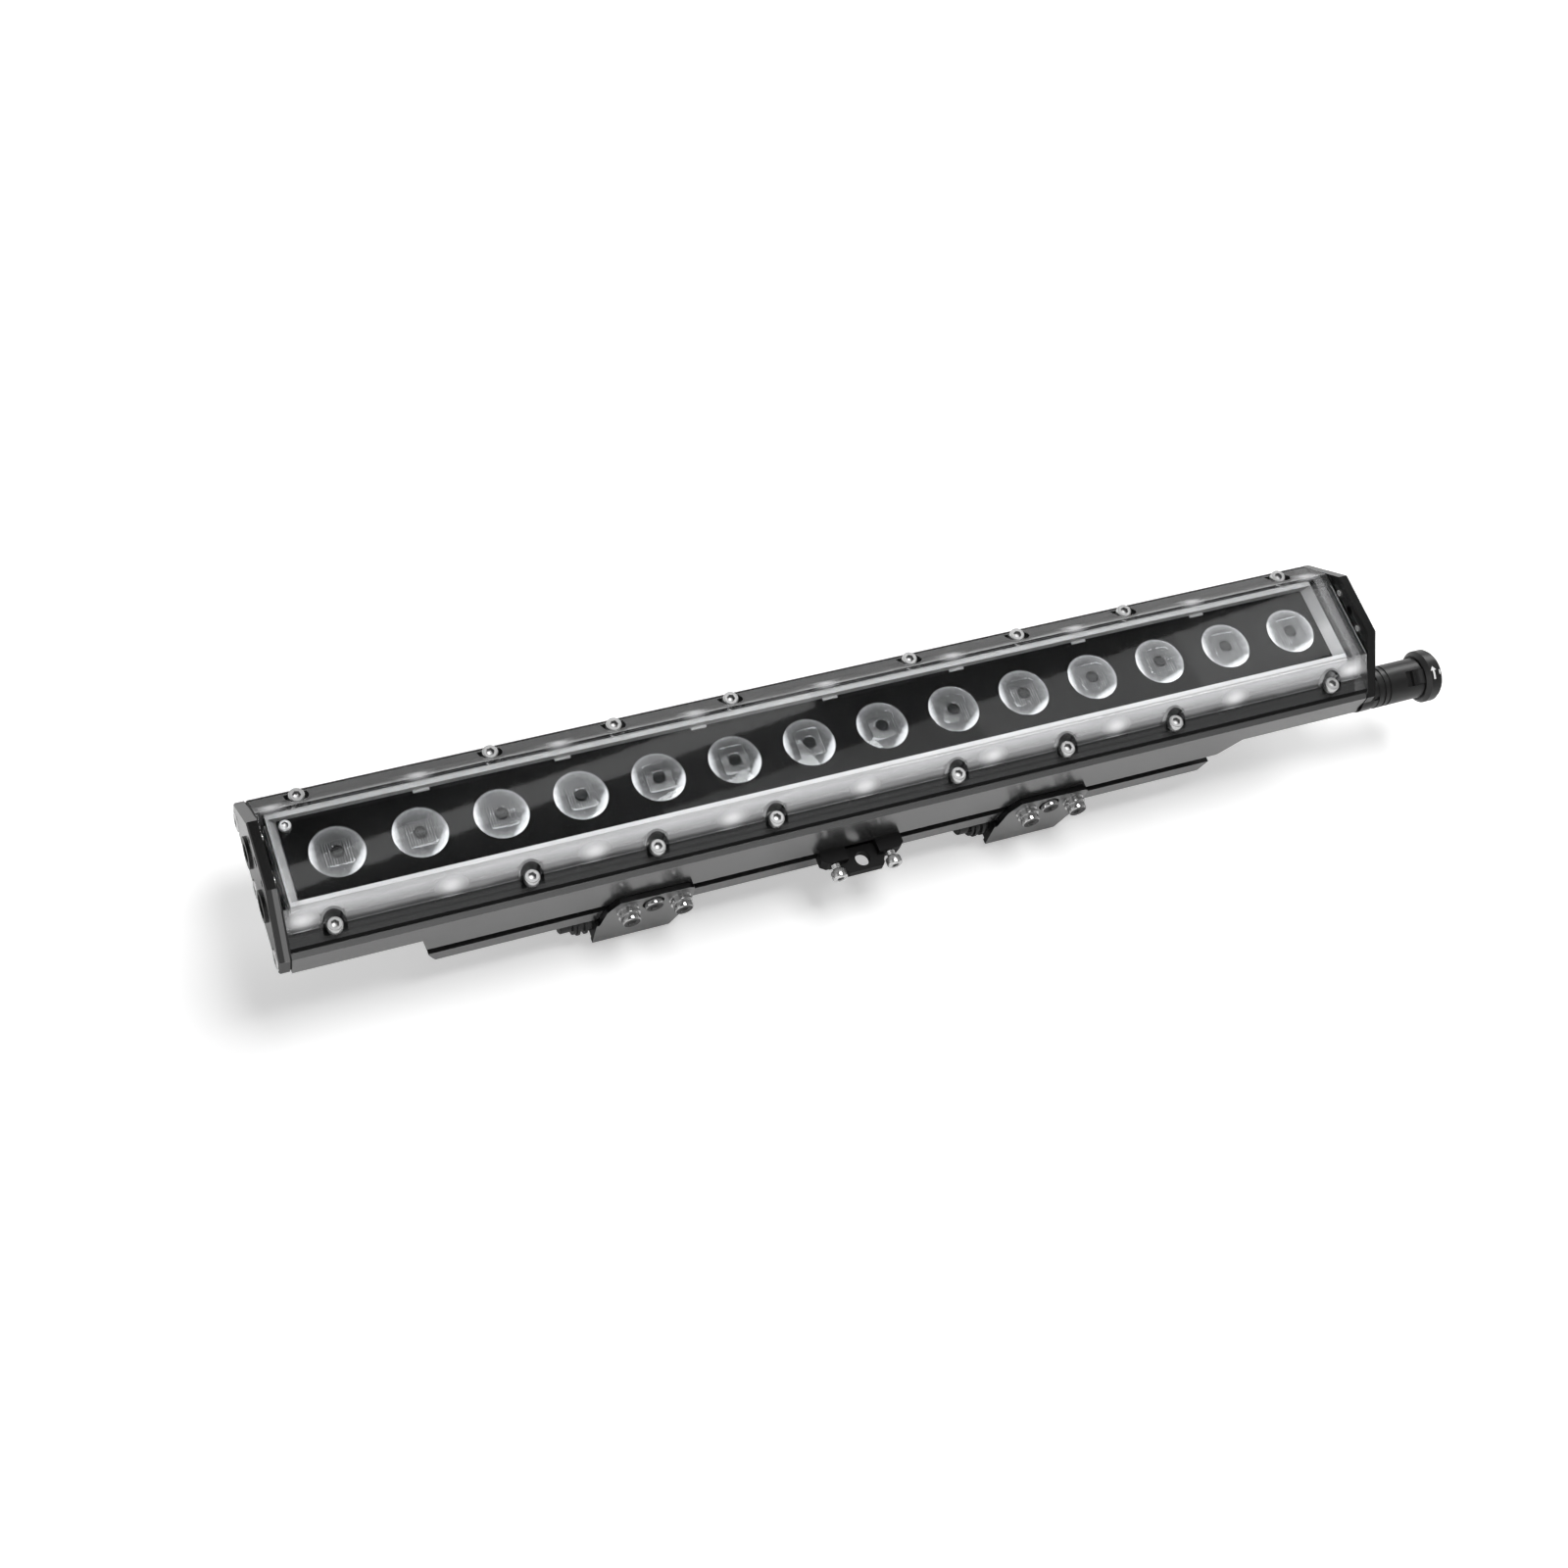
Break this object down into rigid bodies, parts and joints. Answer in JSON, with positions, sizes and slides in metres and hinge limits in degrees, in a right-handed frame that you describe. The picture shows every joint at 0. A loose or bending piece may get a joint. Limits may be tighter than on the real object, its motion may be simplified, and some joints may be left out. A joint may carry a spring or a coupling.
{
  "type": "outdoor wall washer light",
  "caption": "Outdoor linear wall washer light: finned housing with a row of lenses under a clear cover, a driver box with side slots, and two sliding brackets with tilting feet.",
  "frame": {"origin": "middle of the four fixing holes of the feet, on the mounting plane", "axes": "+X along the light towards the connector, +Y away from the bracket side, +Z the direction of the light"},
  "size_m": [0.5627, 0.0888, 0.0826],
  "materials": {
    "body_grey": "satin dark grey anodised",
    "cap_grey": "satin dark grey, milled and anodised",
    "black_steel": "black oxide",
    "bracket_grey": "fine texture dark grey coat",
    "black_plastic": "moulded, fine grain",
    "mask_black": "polished",
    "white_plastic": "smooth, moulded",
    "clear_cover": "polished, faint edge tint",
    "clear_lens": "polished with a fine square grid",
    "steel": "stainless, turned",
    "rubber_black": "moulded",
    "board_white": "lacquered",
    "led_yellow": "phosphor on white",
    "pad_grey": "soft",
    "supply_case": "potted",
    "board_green": "lacquered",
    "terminal_grey": "moulded",
    "lead_red": "lead insulation",
    "contact_brass": "plated",
    "seal_red": "moulded"
  },
  "bodies": {
    "light_body": {"housing": "body_grey", "driver_box": "body_grey", "driver_end_left": "body_grey", "driver_end_right": "body_grey", "left_end_cap": "cap_grey", "right_end_cap": "cap_grey", "left_cap_gasket": "rubber_black", "right_cap_gasket": "rubber_black", "cover_gasket": "rubber_black", "cap_screws": "steel", "cap_set_screws": "steel", "cover_screws": "steel", "mask_screw": "steel", "driver_end_screws": "steel", "box_screws": "steel", "lug_screws": "steel", "lug_nuts": "steel", "blanking_plugs": "black_plastic", "vent_plug": "black_plastic", "cover_window": "clear_cover", "light_frame": "white_plastic", "lens_mask": "mask_black", "lenses": "clear_lens", "lens_holders": "black_plastic", "led_board": "board_white", "leds": "led_yellow", "thermal_pad": "pad_grey", "power_supply": "supply_case", "control_board": "board_green", "terminal_block": "terminal_grey", "led_leads": "lead_red", "lead_grommet": "rubber_black", "supply_lead": "rubber_black", "safety_lug": "cap_grey", "connector_body": "black_plastic", "connector_insert": "black_plastic", "connector_contacts": "contact_brass", "connector_seal": "seal_red", "connector_nut": "black_plastic"},
    "left_bracket": {"left_ear": "bracket_grey", "left_slot_nuts": "steel", "left_ear_bolts": "steel", "left_ear_washers": "steel", "left_hinge_bolt": "black_steel", "left_hinge_washers": "bracket_grey", "left_hinge_nut": "steel"},
    "left_foot": {"left_foot": "bracket_grey"},
    "right_bracket": {"right_ear": "bracket_grey", "right_slot_nuts": "steel", "right_ear_bolts": "steel", "right_ear_washers": "steel", "right_hinge_bolt": "black_steel", "right_hinge_washers": "bracket_grey", "right_hinge_nut": "steel"},
    "right_foot": {"right_foot": "bracket_grey"},
    "connector_ring": {"connector_ring": "black_plastic"},
    "connector_latch": {"connector_latch": "black_plastic"}
  },
  "joints": [
    {"name": "left_bracket_slide", "type": "slide", "parent": "light_body", "child": "left_bracket", "axis": [1, 0, 0], "range_m": [-0.055, 0.045]},
    {"name": "right_bracket_slide", "type": "slide", "parent": "light_body", "child": "right_bracket", "axis": [1, 0, 0], "range_m": [-0.045, 0.055]},
    {"name": "left_foot_tilt", "type": "hinge", "parent": "left_bracket", "child": "left_foot", "pos_m": [-0.08995, -0.031, 0.0135], "axis": [-1, 0, 0], "range_deg": [0, 70]},
    {"name": "right_foot_tilt", "type": "hinge", "parent": "right_bracket", "child": "right_foot", "pos_m": [0.10285, -0.031, 0.0135], "axis": [-1, 0, 0], "range_deg": [0, 70]},
    {"name": "connector_ring_turn", "type": "hinge", "parent": "light_body", "child": "connector_ring", "pos_m": [0.30379, -0.029, 0.049], "axis": [1, 0, 0], "range_deg": [0, 60]},
    {"name": "connector_latch_slide", "type": "slide", "parent": "light_body", "child": "connector_latch", "axis": [-1, 0, 0], "range_m": [0, 0.002], "stiffness_N_per_m": 900, "springref_m": -0.0005}
  ]
}
